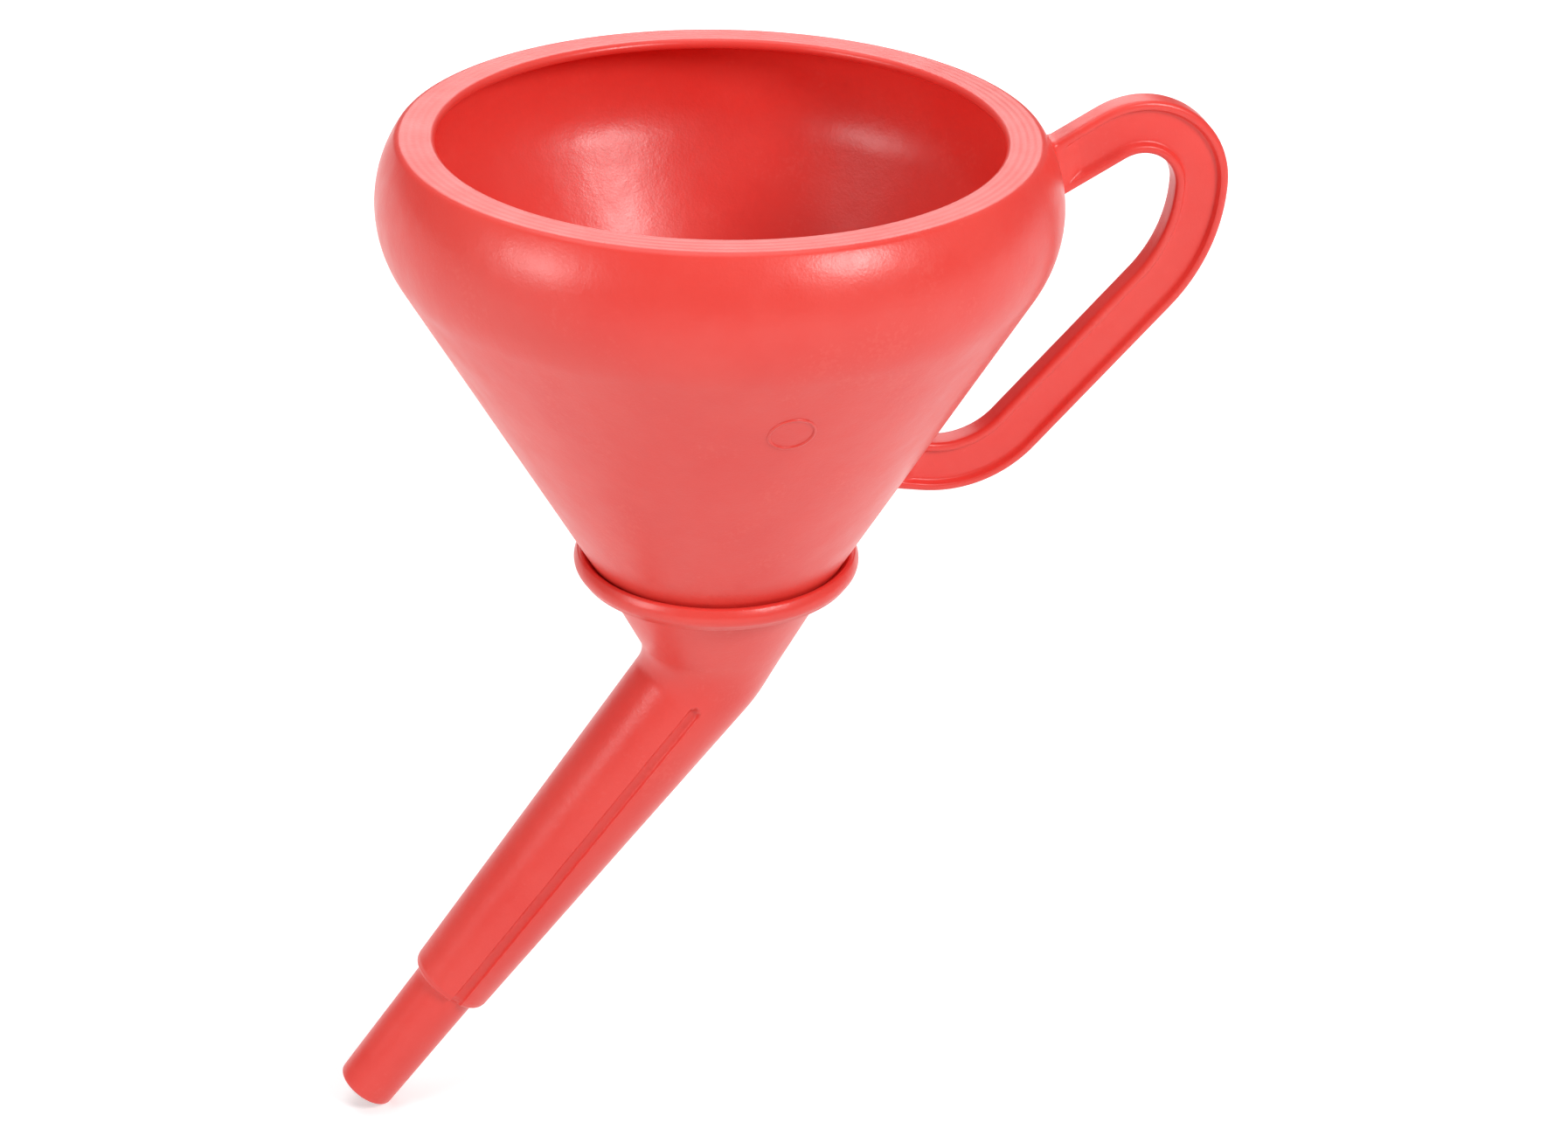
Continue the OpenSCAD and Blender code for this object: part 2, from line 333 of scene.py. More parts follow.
def bowl_profile():
    """Closed outline of the bowl's wall: lip, shoulder and cone outside, then back up inside."""
    edge = LIP_T / 2
    rim_round = 2.0 * MM
    under_round = 3.0 * MM
    inner_r = SHOULDER_R - BOWL_WALL
    depth = RIM_Z - CONE_END_Z
    bead_depth = depth - 2 * MM
    cone_top = 31 * MM
    chamfer = 0.4 * MM
    inner_chamfer = 0.3 * MM

    # Rounded edge between the flat rim and the shoulder
    rise = BELLY_DEPTH - rim_round
    run = math.sqrt((SHOULDER_R - rim_round) ** 2 - rise ** 2)
    rim_turn = math.degrees(math.atan2(rise, run))
    # Hollow corner under the lip
    fall = BELLY_DEPTH - LIP_T - under_round
    reach = math.sqrt((inner_r - under_round) ** 2 - fall ** 2)
    under_turn = math.degrees(math.atan2(fall, reach))

    bead = []
    for t in np.linspace(-1, 1, 9):
        d = bead_depth + t * BEAD_HALF
        bead.append((cone_radius(d) + BEAD_H * math.cos(t * math.pi / 2) ** 2, -d))
    above_bead = bead_depth - MM
    above_end = depth - MM
    inner_end_r = cone_radius(depth, BOWL_WALL)
    inner_edge = depth - inner_chamfer
    return joined(
        arc(MOUTH_R + edge, -edge, edge, 270, 90, 14),
        line((MOUTH_R + edge, 0), (SHOULDER_CX + run, 0), 6),
        arc(SHOULDER_CX + run, -rim_round, rim_round, 90, rim_turn, 8),
        shoulder_arc(SHOULDER_R, rim_turn, -30, 34),
        line((cone_radius(cone_top), -cone_top), (cone_radius(above_bead), -above_bead), 40),
        bead,
        line((cone_radius(depth - chamfer), chamfer - depth), (cone_radius(depth) - chamfer, -depth), 2),
        line((inner_end_r + 0.2 * MM, -depth), (cone_radius(inner_edge, BOWL_WALL), -inner_edge), 2),
        line((cone_radius(above_end, BOWL_WALL), -above_end),
             (cone_radius(cone_top, BOWL_WALL), -cone_top), 30),
        shoulder_arc(inner_r, -30, under_turn, 30),
        arc(SHOULDER_CX + reach, -LIP_T - under_round, under_round, under_turn, 90, 8),
        line((SHOULDER_CX + reach, -LIP_T), (MOUTH_R + edge, -LIP_T), 4)[:-1],
    )


def make_bowl():
    bowl = skinned("bowl_shell", lathe(bowl_profile(), RIM_Z, 320), red_bowl, "bowl")
    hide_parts("bowl")


def make_mould_ring():
    """A plain raised ring on the cone, as a moulding mark without any sign in it."""
    ring_r, height, half_w = 5.2 * MM, 0.3 * MM, 0.5 * MM
    crown_w, crown_h = half_w * 0.6, height * 0.7
    sunk = -0.3 * MM
    heading = math.radians(-85.5)
    centre_depth = 46 * MM
    section = [(-half_w, sunk), (-crown_w, crown_h), (0, height), (crown_w, crown_h), (half_w, sunk)]
    rings = []
    for a in np.linspace(0, 2 * math.pi, 72, endpoint=False):
        ring = []
        for off, lift in section:
            r = ring_r + off
            depth = centre_depth - r * math.sin(a) * math.cos(CONE_ANGLE)
            radius = cone_radius(depth) + lift * math.cos(CONE_ANGLE)
            turn = heading + r * math.cos(a) / cone_radius(depth)
            z = RIM_Z - depth - lift * math.sin(CONE_ANGLE)
            ring.append((AXIS_X + radius * math.cos(turn), radius * math.sin(turn), z))
        rings.append(ring)
    skinned("mould_ring", rings, red_bowl, "bowl", flip=True)


# ---------------------------------------------------------------- handle
def band_line():
    """Middle line of the loop in (x from the axis, z from the rim), with its outward normals."""
    half = BAND_W / 2
    top_cx = BOWL_R + HANDLE_REACH - half - TOP_BEND_R
    top_cz = HANDLE_RISE - half - TOP_BEND_R
    side_cx = top_cx + TOP_BEND_R - SIDE_BEND_R
    offset = side_cx * math.cos(RUN_NORMAL) - top_cz * math.sin(RUN_NORMAL) + SIDE_BEND_R
    low_cz = LOW_BEND_R + half - HANDLE_DROP
    low_cx = (offset - LOW_BEND_R + low_cz * math.sin(RUN_NORMAL)) / math.cos(RUN_NORMAL)
    bends = (
        (top_cx, top_cz, TOP_BEND_R, math.pi / 2 + TOP_ROOT_ANGLE, 0.0),
        (side_cx, top_cz, SIDE_BEND_R, 0.0, -RUN_NORMAL),
        (low_cx, low_cz, LOW_BEND_R, -RUN_NORMAL, -math.pi / 2 - LOW_ROOT_ANGLE),
    )
    points, normals = [], []

    def put(x, z, a):
        points.append((x, z))
        normals.append((math.cos(a), math.sin(a)))

    cx, cz, r, first, _ = bends[0]
    ux, uz = math.cos(first), math.sin(first)
    for s in np.linspace(ROOT_LEN, 0, 60)[:-1]:
        put(cx + r * ux - s * uz, cz + r * uz + s * ux, first)
    for cx, cz, r, start, end in bends:
        steps = max(8, int(abs(end - start) * r / (1.1 * MM)))
        for a in np.linspace(start, end, steps + 1):
            put(cx + r * math.cos(a), cz + r * math.sin(a), a)
    cx, cz, r, _, last = bends[-1]
    ux, uz = math.cos(last), math.sin(last)
    for s in np.linspace(0, ROOT_LEN, 60)[1:]:
        put(cx + r * ux + s * uz, cz + r * uz - s * ux, last)
    points, normals = np.array(points), np.array(normals)
    keep = np.r_[True, np.linalg.norm(np.diff(points, axis=0), axis=1) > 0.05 * MM]
    points, normals = points[keep], normals[keep]
    # Fill the straight run
    full_p, full_n = [points[0]], [normals[0]]
    for p, q, m in zip(points[:-1], points[1:], normals[1:]):
        gap = np.linalg.norm(q - p)
        for t in np.linspace(0, 1, max(1, int(gap / (1.5 * MM))) + 1)[1:]:
            full_p.append(p * (1 - t) + q * t)
            full_n.append(m)
    return np.array(full_p), np.array(full_n)


def rounded_corner(u, v, du, dv, r, steps=4):
    """Corner at (u, v) rounded on the inside; du, dv point from the corner into the section."""
    cu, cv = u + du * r, v + dv * r
    angles = np.linspace(0, math.pi / 2, steps + 1)
    return [(cu - du * r * math.cos(a), cv - dv * r * math.sin(a)) for a in angles]


def band_section():
    """Closed I-shaped outline: u across the band in its plane, v across the funnel."""
    half_w, half_t = BAND_W / 2, BAND_T / 2
    inner_w = half_w - FLANGE_W
    floor = half_t - CHANNEL_DEPTH
    corner_r, edge_chamfer = 1.1 * MM, 0.25 * MM
    # From the outer edge's middle to the channel's middle
    q = np.array([
        (half_w, 0),
        (half_w, half_t * 0.35),
        *rounded_corner(half_w, half_t, -1, -1, corner_r),
        (inner_w + edge_chamfer, half_t),
        (inner_w, half_t - edge_chamfer),
        (inner_w - 0.3 * MM, floor + 0.35 * MM),
        (inner_w - 0.7 * MM, floor + 0.06 * MM),
        (inner_w - 1.3 * MM, floor),
        (inner_w * 0.5, floor),
        (0, floor),
    ])
    left = q[::-1][1:] * [-1, 1]
    upper = np.vstack([q, left])
    lower = upper[::-1][1:-1] * [1, -1]
    return np.vstack([upper, lower])


def bowl_distance(x, y, z):
    """Distance outside the bowl's outer face; x from the axis, z from the rim."""
    r = np.hypot(x, y)
    to_cone = (r - cone_radius(-z)) * math.cos(CONE_ANGLE)
    to_shoulder = np.hypot(r - SHOULDER_CX, z + BELLY_DEPTH) - SHOULDER_R
    on_cone = z < -(BELLY_DEPTH + SHOULDER_R * math.sin(CONE_ANGLE))
    return np.where(on_cone, to_cone, to_shoulder)


def make_handle():
    """The band's outline swept along its line.

    Each long line of the sweep ends just inside the bowl's wall.
    """
    line_p, line_n = band_line()
    section = band_section()
    flare_r, flare_share = 1.7 * MM, 0.75
    sunk, count = 1.5 * MM, 300
    fill_start, fill_len = 1.5 * MM, 5 * MM
    rim_drop, rim_reach = 0.6 * MM, BOWL_R - 3 * MM
    middle = len(line_p) // 2
    steps = np.arange(len(line_p))
    spread = np.linspace(0, 1, count)
    x, y, z = (np.empty((count, len(section))) for _ in range(3))
    for j, (u, v) in enumerate(section):
        lx = line_p[:, 0] + line_n[:, 0] * u
        lz = line_p[:, 1] + line_n[:, 1] * u
        gap = bowl_distance(lx, v, lz) + sunk
        first = max(k for k in range(middle) if gap[k] <= 0)
        last = min(k for k in range(middle, len(gap)) if gap[k] <= 0)
        start = first + gap[first] / (gap[first] - gap[first + 1])
        end = last - gap[last] / (gap[last] - gap[last - 1])
        at = start + (end - start) * spread
        x[:, j], z[:, j], y[:, j] = np.interp(at, steps, lx), np.interp(at, steps, lz), v
    # The root spreads outwards from the band's own faces as it nears the bowl
    tangent = np.roll(section, -1, axis=0) - np.roll(section, 1, axis=0)
    out = np.c_[tangent[:, 1], -tangent[:, 0]]
    out /= np.linalg.norm(out, axis=1)[:, None]
    if out[0] @ section[0] < 0:
        out = -out
    # Near the bowl the channels fill up, so that the root is a plain bar with a rounded foot
    side = np.sign(section[:, 1])
    channel = np.abs(section[:, 0]) < BAND_W / 2 - FLANGE_W + 0.3 * MM
    out[channel] = np.c_[0 * side, side][channel]
    gap = bowl_distance(x, y, z)
    clear = np.clip((gap - fill_start) / fill_len, 0, 1)
    clear = clear * clear * (3 - 2 * clear)
    face = side * BAND_T / 2
    y = np.where(channel, face + (y - face) * clear, y)
    gap = np.clip(gap, 0, flare_r)
    grow = flare_share * flare_r * (1 - np.sqrt(1 - (1 - gap / flare_r) ** 2))
    ahead = np.gradient(x, axis=0), np.gradient(z, axis=0)
    size = np.hypot(*ahead)
    normal_x, normal_z = -ahead[1] / size, ahead[0] / size
    if np.sum(normal_x * line_n[middle][0] + normal_z * line_n[middle][1]) < 0:
        normal_x, normal_z = -normal_x, -normal_z
    x = x + normal_x * out[:, 0] * grow
    z = z + normal_z * out[:, 0] * grow
    y = y + out[:, 1] * grow
    z = np.where(np.hypot(x, y) < rim_reach, np.minimum(z, -rim_drop), z)
    rings = np.stack([AXIS_X + x, y, RIM_Z + z], -1)
    handle = skinned("handle_loop", rings, red_part, "bowl", closed=False)
    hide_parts("handle")


# ---------------------------------------------------------------- spout
# Directions in the plane of symmetry, as (x, z); the outlet's centre is the frame's origin
TUBE_DIR = np.array([-math.cos(SPOUT_ANGLE), -math.sin(SPOUT_ANGLE)])
TUBE_OUT = np.array([math.sin(SPOUT_ANGLE), -math.cos(SPOUT_ANGLE)])
BEND = -TUBE_DIR * (TUBE_LEN + TIP_LEN)
TAPER = (TUBE_TOP_R - TUBE_STEP_R) / TUBE_LEN
COLLAR_LOW_Z = COLLAR_TOP_Z - COLLAR_H
THROAT_SLOPE = math.tan(THROAT_ANGLE)
THROAT_TOP_R = cone_radius(RIM_Z - CONE_END_Z, BOWL_WALL) + DRIP_STEP
THROAT_R = THROAT_TOP_R - COLLAR_FLOOR * THROAT_SLOPE + SPOUT_WALL / math.cos(THROAT_ANGLE)


def throat_radius(z, offset):
    """Radius of the throat at a height, a distance inside its outer face."""
    return THROAT_R - (COLLAR_LOW_Z - z) * THROAT_SLOPE - offset / math.cos(THROAT_ANGLE)


def tube_radius(along, offset):
    """Radius of the tube at a distance from the bend, a distance inside its outer face."""
    return TUBE_TOP_R - along * TAPER - offset


def fillet(p, u, q, v, r, steps):
    """The rounded corner between a line through p along u and a line through q along v."""
    t = np.linalg.solve(np.c_[u, -v], q - p)
    corner = p + u * t[0]
    half = math.acos(np.clip(u @ v, -1, 1)) / 2
    cut = r * math.tan(half)
    start = corner - u * cut
    side = v - u * (u @ v)
    centre = start + side / np.linalg.norm(side) * r
    a0 = math.atan2(*(start - centre)[::-1])
    turn = 2 * half * math.copysign(1, u[0] * v[1] - u[1] * v[0])
    angles = a0 + np.linspace(0, turn, steps + 1)
    return np.c_[centre[0] + r * np.cos(angles), centre[1] + r * np.sin(angles)]


def spout_sections(offset, along_list):
    """Left point, right point and half-width of each section from the collar down.

    offset is how far the sections lie inside the outer skin.
    """
    slope = np.array([math.sin(THROAT_ANGLE), -math.cos(THROAT_ANGLE)])
    top_r = throat_radius(COLLAR_LOW_Z, offset)
    left_top = np.array([AXIS_X - top_r, COLLAR_LOW_Z])
    right_top = np.array([AXIS_X + top_r, COLLAR_LOW_Z])
    lean = math.atan(TAPER)
    left_dir = TUBE_DIR * math.cos(lean) + TUBE_OUT * math.sin(lean)
    right_dir = TUBE_DIR * math.cos(lean) - TUBE_OUT * math.sin(lean)
    left_q = BEND - TUBE_OUT * tube_radius(0, offset)
    right_q = BEND + TUBE_OUT * tube_radius(0, offset)
    steps = 26
    left = fillet(left_top, slope, left_q, left_dir, INNER_BEND_R + offset, steps)
    z_start = left[0][1]
    along_end = (left[-1] - BEND) @ TUBE_DIR
    right_arc = fillet(right_top, slope * [-1, 1], right_q, right_dir, OUTER_BEND_R - offset, 30)
    start = np.array([AXIS_X + throat_radius(z_start, offset), z_start])
    end = BEND + TUBE_DIR * along_end + TUBE_OUT * tube_radius(along_end, offset)
    between = [p for p in right_arc if p[1] < start[1] and (p - BEND) @ TUBE_DIR < along_end]
    right = np.array([start] + between + [end])
    run = np.r_[0, np.cumsum(np.linalg.norm(np.diff(right, axis=0), axis=1))]
    at = np.linspace(0, run[-1], steps + 1)
    right = np.c_[np.interp(at, run, right[:, 0]), np.interp(at, run, right[:, 1])]
    w0, w1 = throat_radius(z_start, offset), tube_radius(along_end, offset)
    t = np.linspace(0, 1, steps + 1)
    half = w0 + (w1 - w0) * (t * (2 - t))
    rows = []
    for z in np.linspace(COLLAR_LOW_Z - 2.2 * MM, z_start, 14)[:-1]:
        r = throat_radius(z, offset)
        rows.append((np.array([AXIS_X - r, z]), np.array([AXIS_X + r, z]), r))
    rows += list(zip(left, right, half))
    for s in along_list:
        if s <= along_end + 0.3 * MM:
            continue
        r = tube_radius(s, offset)
        c = BEND + TUBE_DIR * s
        rows.append((c - TUBE_OUT * r, c + TUBE_OUT * r, r))
    return rows


def around_angles():
    """Angles round a section, close together where the grooves run."""
    fine = np.radians(np.linspace(-13, 13, 53))
    side = math.pi / 2
    front = np.linspace(-side + fine[-1], side + fine[0], 60)[1:-1]
    back = np.linspace(side + fine[-1], 3 * side + fine[0], 60)[1:-1]
    return np.r_[-side + fine, front, side + fine, back]


def section_ring(left, right, half, angles):
    """An oval ring through two points of the plane of symmetry."""
    centre, axis = (left + right) / 2, (right - left) / 2
    x = centre[0] + axis[0] * np.cos(angles)
    z = centre[1] + axis[1] * np.cos(angles)
    return np.c_[x, half * np.sin(angles), z]


def circle_ring(radius, z, angles):
    """A level ring round the bowl's axis."""
    return np.c_[AXIS_X + radius * np.cos(angles), radius * np.sin(angles), np.full(len(angles), z)]


def tube_ring(along, radius, angles):
    """A ring square to the tube's axis."""
    centre = BEND + TUBE_DIR * along
    return np.c_[
        centre[0] + TUBE_OUT[0] * radius * np.cos(angles),
        radius * np.sin(angles),
        centre[1] + TUBE_OUT[1] * radius * np.cos(angles),
    ]


def grooved(ring, depth):
    """A ring of the tube with the air-relief groove sunk into each side."""
    flat = ring[:, [0, 2]] - BEND
    along, across = flat @ TUBE_DIR, flat @ TUBE_OUT
    centre = GROOVE_TOP_OFFSET + (GROOVE_END_OFFSET - GROOVE_TOP_OFFSET) * along / TUBE_LEN
    before = np.clip(GROOVE_START - along, 0, None)
    reach = np.hypot(across - centre, before) / GROOVE_HALF
    sink = depth * np.sqrt(np.clip(1 - reach ** 2.6, 0, 1))
    ring[:, 1] -= np.sign(ring[:, 1]) * sink
    return ring


def collar_outline():
    """From the inner edge of the collar's floor up the socket, over its edge and down to the throat."""
    top, low, r = COLLAR_TOP_Z, COLLAR_LOW_Z, COLLAR_R
    floor_z = low + COLLAR_FLOOR
    groove_z = floor_z + 2 * MM
    socket_low = cone_radius(RIM_Z - floor_z) + SWIVEL_GAP
    mouth = cone_radius(RIM_Z - top) + SWIVEL_GAP
    mouth_round, edge_round, side_round, under_round = 0.3 * MM, 0.7 * MM, 3.0 * MM, 1.3 * MM
    neck = throat_radius(low, 0)
    bead_groove = []
    for t in np.linspace(-1, 1, 9):
        z = groove_z + t * (BEAD_HALF + 0.2 * MM)
        sink = (BEAD_H + 0.1 * MM) * math.cos(t * math.pi / 2) ** 2
        bead_groove.append((cone_radius(RIM_Z - z) + SWIVEL_GAP + sink, z))
    return joined(
        [(throat_radius(floor_z, SPOUT_WALL), floor_z), (socket_low, floor_z)],
        bead_groove,
        [(mouth - 0.2 * MM, top - 0.9 * MM), (mouth + 0.1 * MM, top - 0.5 * MM)],
        [(mouth + 0.5 * MM, top - 0.1 * MM)],
        arc(mouth + 0.75 * MM, top - mouth_round, mouth_round, 120, 90, 2),
        arc(r - 1.35 * MM, top - edge_round, edge_round, 90, 35, 5),
        arc(r - side_round, top - 2.6 * MM, side_round, 28, -52, 12),
        arc(r - 2.35 * MM, low + under_round, under_round, -50, -90, 5),
        # Hollow corner between the collar and the throat
        [
            (neck + 3.2 * MM, low + 0.02 * MM),
            (neck + 1.9 * MM, low - 0.12 * MM),
            (neck + 0.8 * MM, low - 0.5 * MM),
            (throat_radius(low - 1.2 * MM, 0) + 0.2 * MM, low - 1.2 * MM),
        ],
    )


def make_spout():
    """One closed shell: collar, throat, bend, tube, step and tip outside, then back up inside."""
    angles = around_angles()
    total = TUBE_LEN + TIP_LEN
    close_rings = np.arange(7, 16, 0.3)
    wide_rings = np.arange(16, 112, 2.0)
    outer = sorted(set(np.round(np.r_[close_rings, wide_rings, 112.5, 113.2] * MM, 6)))
    rings = [circle_ring(r, z, angles) for r, z in collar_outline()]
    for left, right, half in spout_sections(0.0, outer):
        rings.append(grooved(section_ring(left, right, half, angles), GROOVE_DEPTH))
    # Rounded step, where the grooves run out
    for a in np.radians(np.linspace(0, 90, 9)):
        along = TUBE_LEN - STEP_ROUND + STEP_ROUND * math.sin(a)
        radius = TUBE_STEP_R - STEP_ROUND + STEP_ROUND * math.cos(a)
        depth = min(GROOVE_DEPTH, max(0.0, radius - TIP_TOP_R - 0.2 * MM))
        rings.append(grooved(tube_ring(along, radius, angles), depth))
    rings.append(tube_ring(TUBE_LEN, TIP_TOP_R + 0.35 * MM, angles))
    rings.append(tube_ring(TUBE_LEN + 0.1 * MM, TIP_TOP_R + 0.1 * MM, angles))
    # Tip and its rounded end
    for along in np.linspace(TUBE_LEN + 0.4 * MM, total - 1.2 * MM, 20):
        share = (along - TUBE_LEN) / TIP_LEN
        rings.append(tube_ring(along, TIP_TOP_R + (TIP_END_R - TIP_TOP_R) * share, angles))
    for a in np.radians(np.linspace(0, 90, 7)):
        along = total - TIP_ROUND + TIP_ROUND * math.sin(a)
        rings.append(tube_ring(along, TIP_END_R - TIP_ROUND + TIP_ROUND * math.cos(a), angles))
    rings.append(tube_ring(total, OUTLET_R + 0.25 * MM, angles))
    rings.append(tube_ring(total - 0.25 * MM, OUTLET_R, angles))
    # Back up through the bore, the inner cone, the bend and the throat
    for along in np.linspace(total - MM, TUBE_LEN, 12):
        rings.append(tube_ring(along, OUTLET_R, angles))
    cone_start = TUBE_LEN - INNER_CONE_LEN
    rings.append(tube_ring(cone_start, tube_radius(cone_start, SPOUT_WALL), angles))
    for left, right, half in reversed(spout_sections(SPOUT_WALL, np.arange(8, 108, 4.0) * MM)):
        rings.append(section_ring(left, right, half, angles))
    for z in np.linspace(COLLAR_LOW_Z - 2 * MM, COLLAR_LOW_Z + COLLAR_FLOOR - 0.2 * MM, 5):
        rings.append(circle_ring(throat_radius(z, SPOUT_WALL), z, angles))
    spout = skinned("spout_shell", rings, red_part, "spout", flip=True)
    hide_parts("spout")


# ---------------------------------------------------------------- strainer
STRAINER_Z = strainer_lo.z
STRAINER_TOP = strainer_hi.z - STRAINER_Z
RING_H = 5 * MM
RIB_H = 2 * MM
RIB_HALF = 0.8 * MM
STRAINER_GAP = 0.3 * MM
RING_LOW_R = cone_radius(RIM_Z - STRAINER_Z, BOWL_WALL) - STRAINER_GAP
RING_TOP_R = cone_radius(RIM_Z - STRAINER_Z - RING_H, BOWL_WALL) - STRAINER_GAP
RING_INNER_R = RING_LOW_R - 2.4 * MM
MESH_R = RING_LOW_R - 1.2 * MM
MESH_GAP = 0.1 * MM
KNOB_R = 4 * MM
HUB_R = 4 * MM
STEM_R = 2 * MM
SOFT = 0.35 * MM
WIRE_PITCH = 1.2 * MM
WIRE_R = 0.14 * MM
WIRE_WAVE = 0.11 * MM
WIRE_SIDES = 5


def make_strainer_ring():
    """The ring that sits in the cone, with the step that the mesh lies on."""
    profile = joined(
        [(RING_INNER_R + SOFT, 0), (RING_LOW_R - SOFT, 0)],
        arc(RING_LOW_R - SOFT, SOFT, SOFT, -90, -15, 4),
        line((RING_LOW_R + 0.15 * MM, SOFT), (RING_TOP_R - 0.1 * MM, RING_H - SOFT), 6),
        arc(RING_TOP_R - 2 * SOFT, RING_H - SOFT, SOFT, 0, 90, 4),
        arc(MESH_R + MESH_GAP + SOFT, RING_H - SOFT, SOFT, 90, 180, 4),
        [(MESH_R + MESH_GAP, RIB_H), (RING_INNER_R, RIB_H)],
        arc(RING_INNER_R + SOFT, SOFT, SOFT, 180, 270, 4),
    )
    frame_ring = skinned("strainer_ring", lathe(profile, STRAINER_Z, 192), red_part, "strainer")
    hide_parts("strainer_frame")


def make_strainer_knob():
    """Hub, stem and finger knob in one turned shape."""
    top = STRAINER_TOP
    crown_r = 9 * MM
    outline = joined(
        [(0.2 * MM, 0), (HUB_R - SOFT, 0)],
        arc(HUB_R - SOFT, SOFT, SOFT, -90, 0, 4),
        [(HUB_R, RIB_H - SOFT), (HUB_R - SOFT, RIB_H)],
        [(STEM_R + 0.4 * MM, RIB_H), (STEM_R, RIB_H + 0.6 * MM)],
        line((STEM_R, RIB_H + MM), (STEM_R, top - KNOB_R - 0.8 * MM), 6),
        arc(STEM_R + 0.8 * MM, top - KNOB_R - 0.4 * MM, 0.8 * MM, 180, 120, 4),
        arc(KNOB_R - 1.2 * MM, top - 1.9 * MM, 1.2 * MM, -50, 40, 8),
        arc(0, top - crown_r, crown_r, 68, 89, 8),
    )
    rings = lathe(outline, STRAINER_Z, 48)
    skinned("strainer_knob", rings, red_part, "strainer", closed=False)


def make_strainer_ribs():
    """Four ribs under the mesh, with a rounded underside."""
    foot_w, foot_z, top_z = RIB_HALF * 0.6, 0.05 * MM, RIB_H - 0.1 * MM
    half = [(RIB_HALF, top_z), (RIB_HALF, SOFT), (foot_w, foot_z)]
    section = half + [(-w, h) for w, h in reversed(half)]
    for i in range(4):
        ux, uy = math.cos(math.pi / 2 * i), math.sin(math.pi / 2 * i)
        rings = []
        for s in np.linspace(HUB_R - 0.5 * MM, RING_INNER_R + 0.6 * MM, 12):
            rings.append([(AXIS_X + ux * s - uy * w, uy * s + ux * w, STRAINER_Z + h) for w, h in section])
        name = f"strainer_rib_{i + 1}"
        skinned(name, rings, red_part, "strainer", closed=False, flip=True)


def wire_spans(off):
    """Stretches of a wire at a distance from the middle; the stem's hole parts the middle ones."""
    reach = math.sqrt(max(0, (MESH_R - 0.15 * MM) ** 2 - off ** 2))
    hole = STEM_R + 0.2 * MM
    if reach < 2 * MM:
        return []
    if abs(off) > hole:
        return [(-reach, reach)]
    return [(-reach, -hole), (hole, reach)]


def make_strainer_wires():
    """Woven wire: each wire rises and dips over the ones that it crosses."""
    count = int(MESH_R / WIRE_PITCH)
    z_mid = STRAINER_Z + RIB_H + 0.25 * MM
    round_wire = 2 * math.pi * np.arange(WIRE_SIDES) / WIRE_SIDES
    points, faces = [], []
    for direction in (0, 1):
        for k in range(-count, count + 1):
            off = k * WIRE_PITCH
            sign = 1 if (k + direction) % 2 else -1
            for lo, hi in wire_spans(off):
                steps = max(2, int((hi - lo) / (WIRE_PITCH / 3)))
                base = len(points)
                for s in np.linspace(lo, hi, steps + 1):
                    z = z_mid + sign * WIRE_WAVE * math.cos(math.pi * s / WIRE_PITCH)
                    for b in round_wire:
                        side = off + WIRE_R * math.cos(b)
                        x, y = (s, side) if direction == 0 else (side, s)
                        points.append((AXIS_X + x, y, z + WIRE_R * math.sin(b)))
                for face in ring_faces(steps + 1, WIRE_SIDES, False, flip=(direction == 0)):
                    faces.append(tuple(base + i for i in face))
    mesh = mesh_object("strainer_wires", points, faces, brass, "strainer")
    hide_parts("strainer_mesh")


make_bowl()
make_mould_ring()
make_handle()
make_spout()
make_strainer_ring()
make_strainer_knob()
make_strainer_ribs()
make_strainer_wires()


# ---------------------------------------------------------------- floor, light and camera
def pale_stage():
    """Large flat floor. The camera and reflections also see it glow, more so far from the part."""
    n = Nodes("stage")
    n.set(Base_Color=(0.9, 0.9, 0.9, 1), IOR=1.2)
    n.link(n.spread(n.noise(3, 2), 0.3, 0.7, 0.86, 0.94), n.shader.inputs["Roughness"])
    glow = n.add("ShaderNodeEmission")
    distance = n.add("ShaderNodeVectorMath", operation="LENGTH")
    n.link(n.place, distance.inputs[0])
    n.link(n.spread(distance.outputs["Value"], 0.25, 1.2, 0.4, 0.85), glow.inputs["Strength"])
    both = n.add("ShaderNodeAddShader")
    pick = n.add("ShaderNodeMixShader")
    rays = n.add("ShaderNodeLightPath")
    seen = n.math("MAXIMUM", rays.outputs["Is Camera Ray"], rays.outputs["Is Glossy Ray"])
    n.link(n.shader.outputs[0], both.inputs[0])
    n.link(glow.outputs[0], both.inputs[1])
    n.link(seen, pick.inputs[0])
    n.link(n.shader.outputs[0], pick.inputs[1])
    n.link(both.outputs[0], pick.inputs[2])
    n.link(pick.outputs[0], n.tree.nodes["Material Output"].inputs["Surface"])
    z = cad_box[0][2] - 0.2 * MM
    size = 6.0
    mesh = bpy.data.meshes.new("floor")
    corners = [(-size, -size, z), (size, -size, z), (size, size, z), (-size, size, z)]
    mesh.from_pydata(corners, [], [(0, 1, 2, 3)])
    mesh.materials.append(n.material)
    floor = bpy.data.objects.new("floor", mesh)
    bpy.context.scene.collection.objects.link(floor)


def soft_light(name, place, target, size, power):
    """A round lamp that faces a target."""
    data = bpy.data.lights.new(name, "AREA")
    data.shape = "DISK"
    data.size = size
    data.energy = power
    light = bpy.data.objects.new(name, data)
    light.location = place
    light.rotation_euler = (Vector(target) - Vector(place)).to_track_quat("-Z", "Y").to_euler()
    bpy.context.scene.collection.objects.link(light)


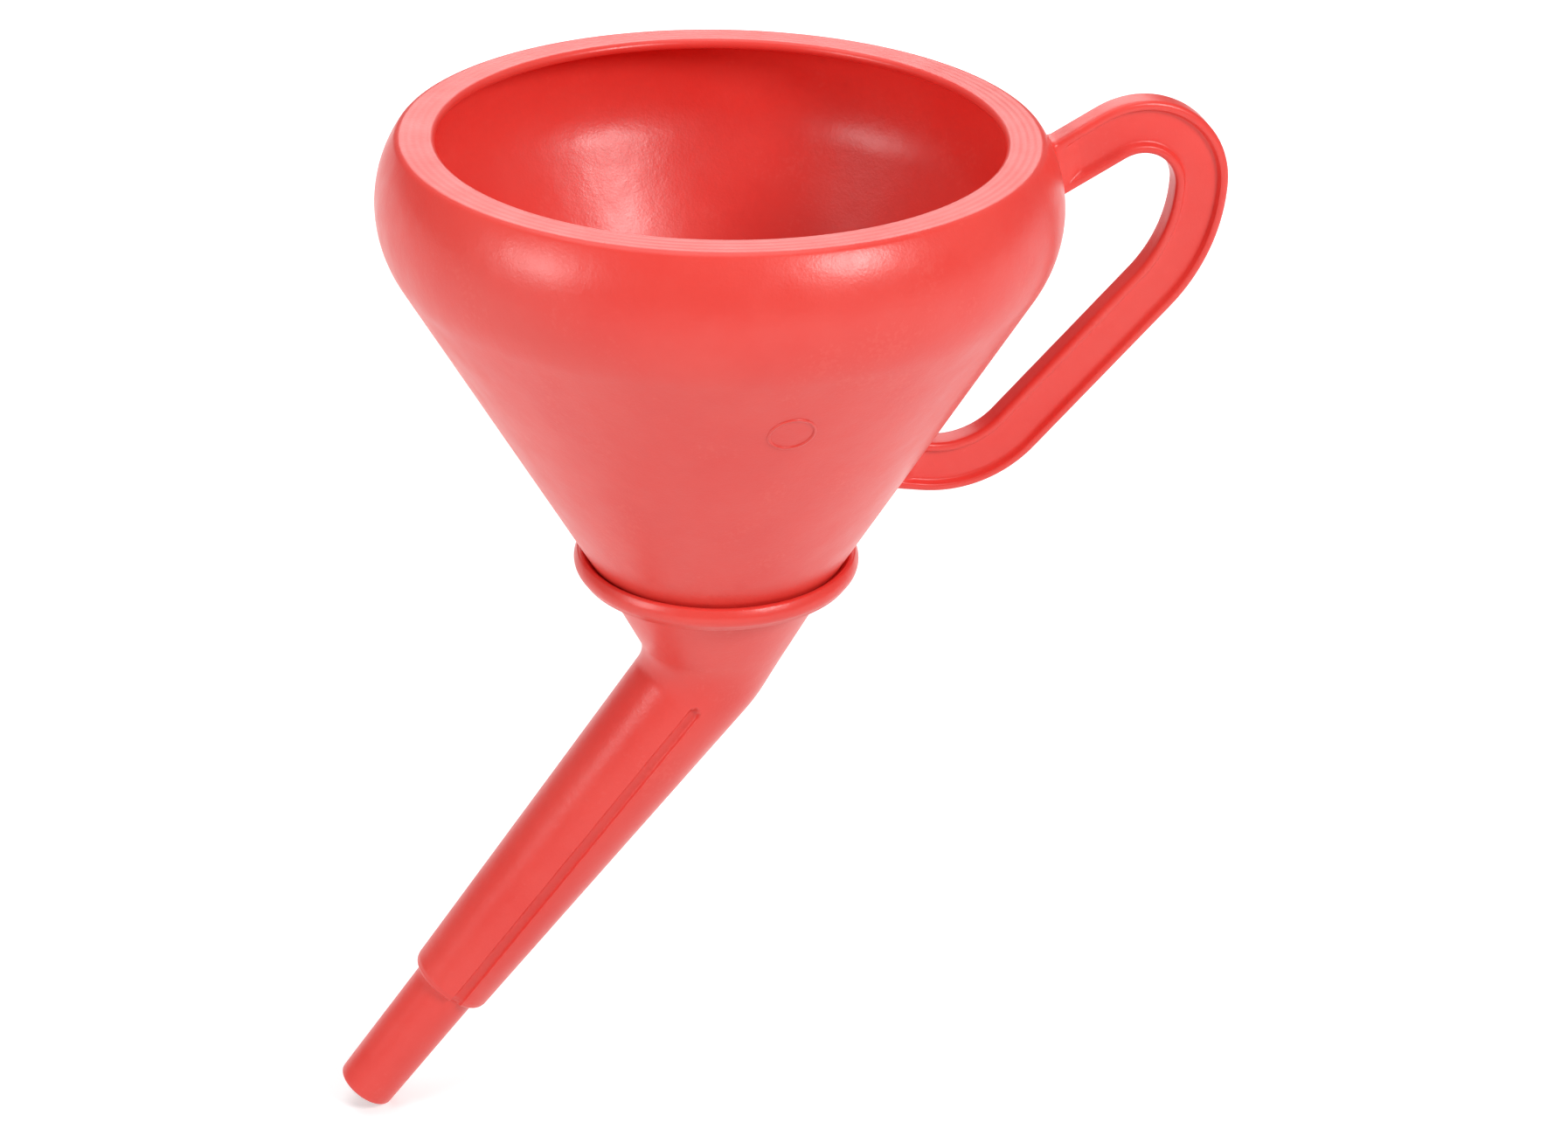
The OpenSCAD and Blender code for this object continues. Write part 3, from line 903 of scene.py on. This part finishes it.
def world_light():
    """White for the camera and a soft even light for all else."""
    world = bpy.data.worlds.new("studio")
    bpy.context.scene.world = world
    world.use_nodes = True
    nodes, links = world.node_tree.nodes, world.node_tree.links
    nodes.clear()
    rays = nodes.new("ShaderNodeLightPath")
    pick = nodes.new("ShaderNodeMixShader")
    out = nodes.new("ShaderNodeOutputWorld")
    links.new(rays.outputs["Is Camera Ray"], pick.inputs[0])
    for socket, strength in ((1, 0.23), (2, 1.0)):
        shade = nodes.new("ShaderNodeBackground")
        shade.inputs["Color"].default_value = (1, 1, 1, 1)
        shade.inputs["Strength"].default_value = strength
        links.new(shade.outputs[0], pick.inputs[socket])
    links.new(pick.outputs[0], out.inputs["Surface"])


def lamps():
    middle = (AXIS_X, 0, RIM_Z * 0.7)
    soft_light("key", (AXIS_X + 0.55, -0.75, RIM_Z + 0.55), middle, 0.34, 6.9)
    soft_light("top", (AXIS_X - 0.1, 0.1, RIM_Z + 0.9), middle, 0.9, 3.6)
    soft_light("back", (AXIS_X + 0.15, 1.1, RIM_Z + 0.62), middle, 0.9, 4.6)
    soft_light("fill", (AXIS_X - 0.85, -0.35, RIM_Z + 0.25), middle, 0.4, 3.2)


def photo_camera():
    """Camera that looks down at the bowl from the front, a little from the left."""
    heading = math.radians(-10.846)
    tilt = math.radians(27.595)
    roll = math.radians(1.312)
    place = Vector((AXIS_X - 117.4 * MM, -701.5 * MM, RIM_Z + 258.65 * MM))
    level = math.cos(tilt)
    forward = Vector((-math.sin(heading) * level, math.cos(heading) * level, -math.sin(tilt)))
    right = forward.cross(Vector((0, 0, 1))).normalized()
    up = right.cross(forward)
    turned_right = right * math.cos(roll) + up * math.sin(roll)
    turned_up = turned_right.cross(forward)
    data = bpy.data.cameras.new("camera")
    data.sensor_width = 36
    data.lens = 74.84
    camera = bpy.data.objects.new("camera", data)
    basis = Matrix((turned_right, turned_up, -forward)).transposed().to_4x4()
    camera.matrix_world = Matrix.Translation(place) @ basis
    bpy.context.scene.collection.objects.link(camera)
    bpy.context.scene.camera = camera


pale_stage()
world_light()
lamps()
photo_camera()
bpy.context.scene.view_settings.view_transform = "Standard"
